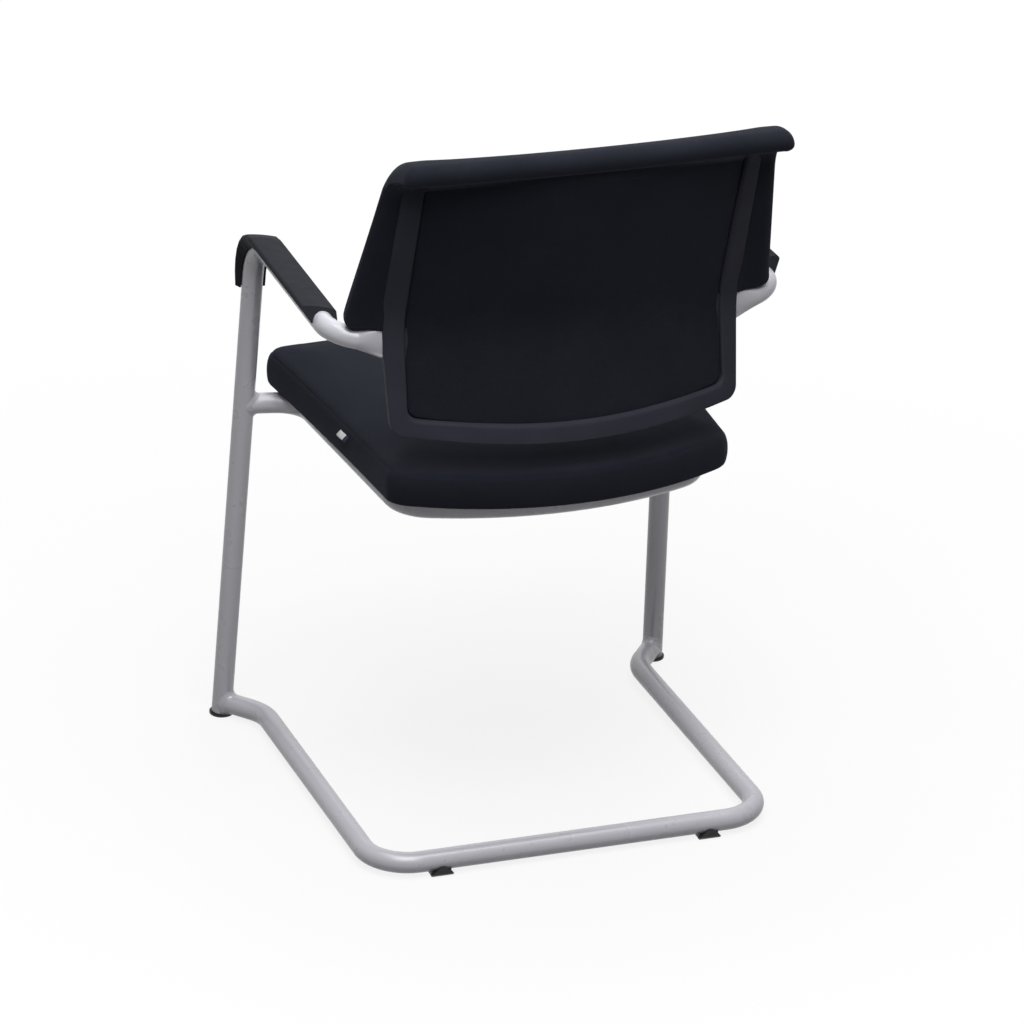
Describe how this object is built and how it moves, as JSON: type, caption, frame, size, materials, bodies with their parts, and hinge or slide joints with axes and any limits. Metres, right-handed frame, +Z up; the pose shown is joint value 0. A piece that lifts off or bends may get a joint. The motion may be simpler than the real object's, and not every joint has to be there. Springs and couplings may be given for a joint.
{
  "type": "cantilever armchair",
  "caption": "Upholstered visitor chair on a cantilever steel tube frame, with closed loop armrests, a curved framed backrest with a rolled top edge, and plastic arm pads.",
  "frame": {"origin": "on the floor, at the centre of the chair's footprint", "axes": "+Z up; the sitter faces -Y, so +Y is the rear; +X is the sitter's left"},
  "size_m": [0.592, 0.5086, 0.8786],
  "materials": {
    "silver_coat": "silver-grey metallic powder coat, satin",
    "zinc_steel": "bright zinc plated",
    "plywood": "raw beech plywood",
    "dark_cloth": "fine woven near-black blue-grey cloth over foam",
    "tag_cloth": "plain pale woven tape, blank",
    "frame_plastic": "charcoal moulded plastic, satin",
    "pad_plastic": "charcoal moulded plastic, fine texture",
    "glide_plastic": "black moulded plastic"
  },
  "bodies": {
    "root": {"side_tube_left": "silver_coat", "side_tube_right": "silver_coat", "floor_tube": "silver_coat", "seat_tube": "silver_coat", "frame_welds": "silver_coat", "seat_lugs": "silver_coat", "seat_board": "plywood", "seat_tee_nuts": "zinc_steel", "seat_screws": "zinc_steel", "seat_cushion": "dark_cloth", "seat_tag": "tag_cloth", "back_frame": "frame_plastic", "back_rear_panel": "dark_cloth", "back_shell": "frame_plastic", "back_cushion": "dark_cloth", "arm_end_screws": "zinc_steel", "back_shell_screws": "zinc_steel", "arm_pad_left": "pad_plastic", "arm_pad_right": "pad_plastic", "front_glide_left": "glide_plastic", "front_glide_right": "glide_plastic", "rear_glide_left": "glide_plastic", "rear_glide_right": "glide_plastic"}
  },
  "joints": []
}
